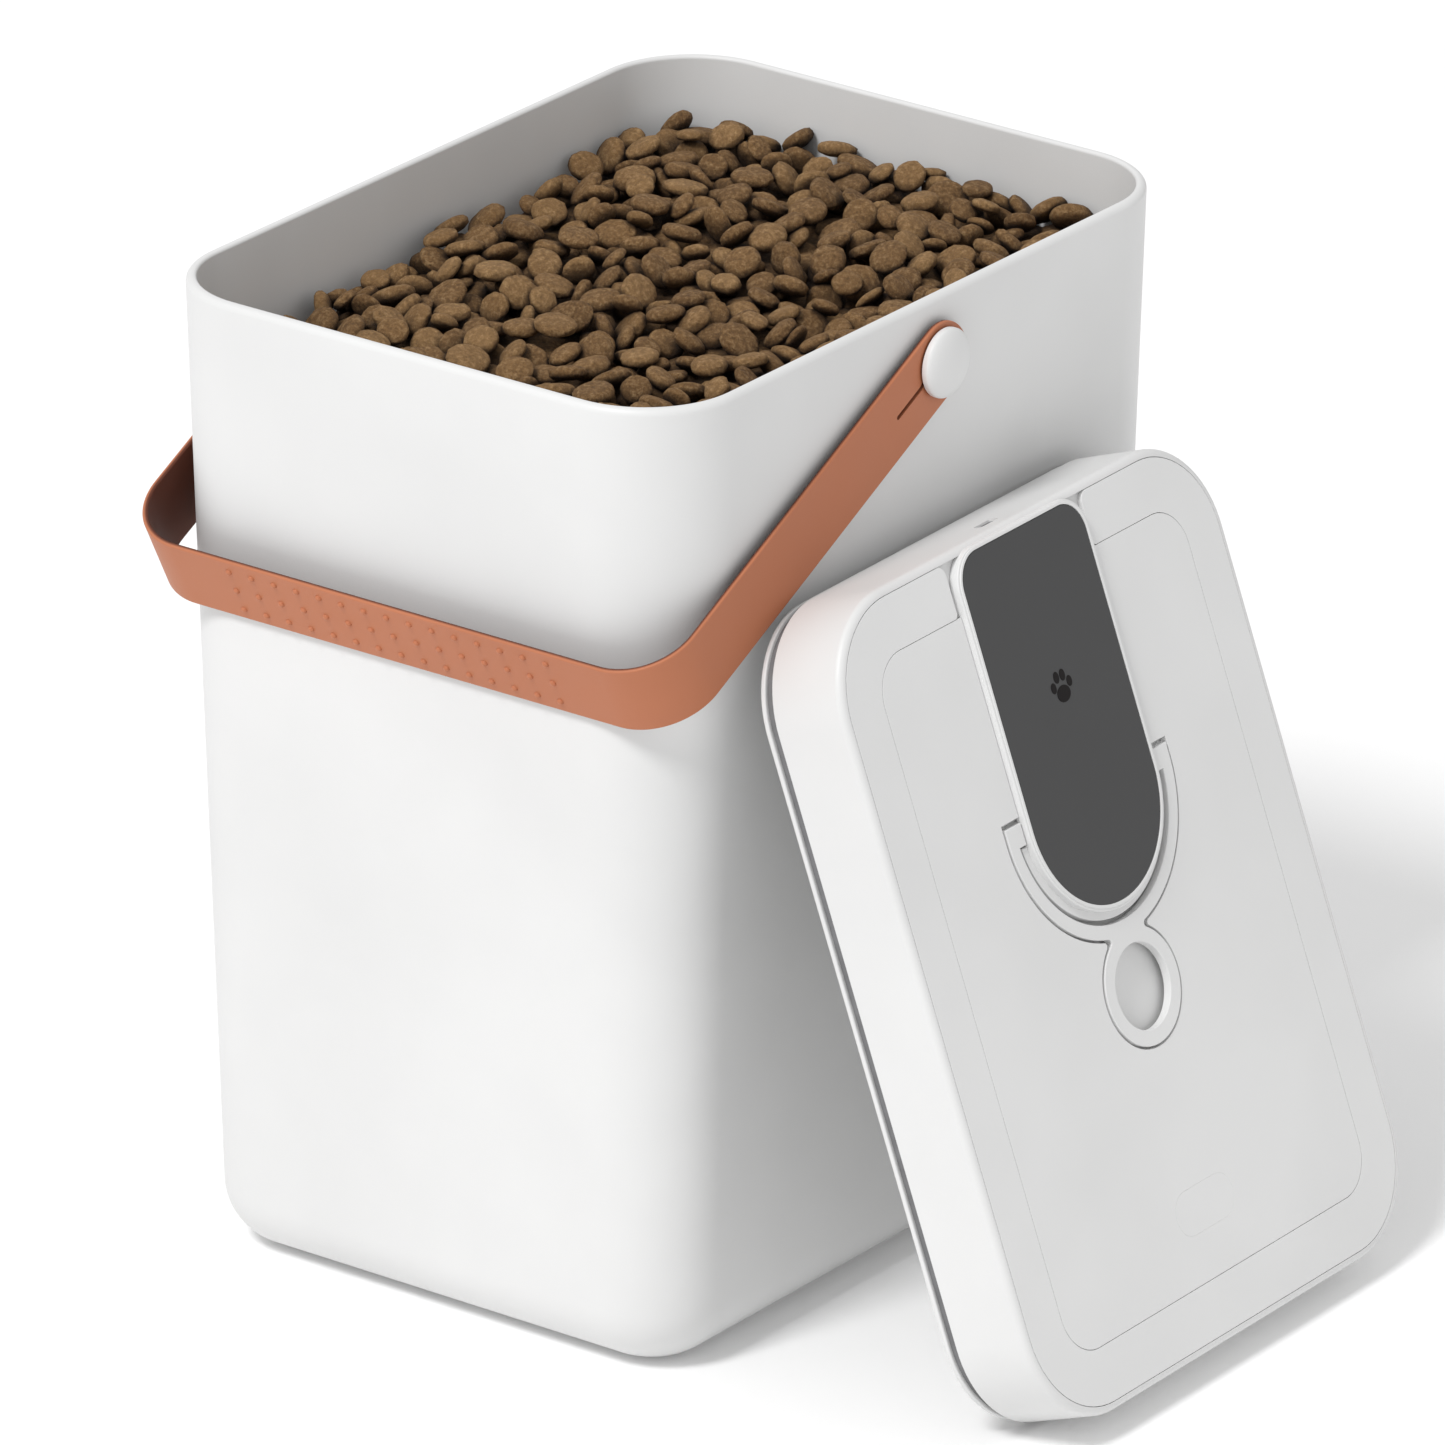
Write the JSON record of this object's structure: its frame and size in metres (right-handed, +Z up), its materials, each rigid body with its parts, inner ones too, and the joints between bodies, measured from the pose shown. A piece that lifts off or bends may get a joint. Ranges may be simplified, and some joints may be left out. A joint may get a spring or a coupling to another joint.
{
  "type": "pet food storage bin",
  "caption": "Tapered upright pet food bin filled with kibble, with a swinging carry strap and a thick powered vacuum lid with a pull ring leaning against its side.",
  "frame": {"origin": "middle of the bin foot on the floor", "axes": "+Z up, +X out of the long side that the lid leans on, -Y out of the short side that the carry strap hangs over"},
  "size_m": [0.3267, 0.2762, 0.32],
  "materials": {
    "white_plastic": "satin",
    "lid_face": "matte",
    "kibble": "matte",
    "terracotta": "satin",
    "touch_plate": "satin",
    "mark": "matte",
    "gasket": "matte",
    "steel": "satin",
    "nylon": "satin",
    "copper_film": "satin",
    "board": "satin",
    "port_metal": "polished",
    "lamp": "gloss",
    "cell": "satin",
    "black_plastic": "matte"
  },
  "bodies": {
    "bin": {"bin_shell": "white_plastic", "kibble_fill": "kibble", "pivot_pins": "steel", "pivot_washers": "nylon", "pivot_caps": "white_plastic"},
    "handle": {"handle_strap": "terracotta", "strap_bushes": "nylon"},
    "lid": {"lid_shell": "white_plastic", "lid_top_frame": "lid_face", "lid_top_panel": "lid_face", "ring_tray": "lid_face", "console_body": "lid_face", "touch_plate": "touch_plate", "touch_sensor": "copper_film", "touch_mark": "mark", "ring_hinge_pins": "steel", "lid_base": "white_plastic", "lid_gasket": "gasket", "rim_seal": "gasket", "base_screws": "steel", "circuit_board": "board", "charging_port": "port_metal", "pressure_sensor": "port_metal", "status_light": "lamp", "status_window": "lid_face", "battery_cell": "cell", "battery_cradle": "black_plastic", "pump_motor": "steel", "pump_head": "black_plastic", "suction_tube": "gasket", "inlet_filter": "black_plastic", "valve_seat": "black_plastic", "valve_spring": "steel"},
    "pull_ring": {"pull_ring": "lid_face"},
    "release_valve": {"valve_stem": "nylon", "valve_disc": "gasket"},
    "pump_crank": {"pump_shaft": "steel", "pump_crank": "nylon"}
  },
  "joints": [
    {"name": "handle_swing", "type": "hinge", "parent": "bin", "child": "handle", "pos_m": [0, 0, 0.3], "axis": [-1, 0, 0], "range_deg": [0, 225]},
    {"name": "lid_lift", "type": "slide", "parent": "bin", "child": "lid", "axis": [0.5, 0, 0.866], "range_m": [0, 0.35]},
    {"name": "pull_ring_lift", "type": "hinge", "parent": "lid", "child": "pull_ring", "pos_m": [0.15831, -0.00125, 0.17395], "axis": [0.0227, -0.9997, 0], "range_deg": [0, 75]},
    {"name": "valve_lift", "type": "slide", "parent": "lid", "child": "release_valve", "axis": [0.9403, 0.0213, 0.3396], "range_m": [0, 0.003], "deforming": ["valve_spring"]},
    {"name": "pump_spin", "type": "hinge", "parent": "lid", "child": "pump_crank", "pos_m": [0.1777, 0.0432, 0.06649], "axis": [-0.0227, 0.9997, 0], "continuous": true}
  ],
  "couplings": [
    {"joint": "valve_lift", "follows": "pull_ring_lift", "m_per_rad": 0.002215}
  ]
}
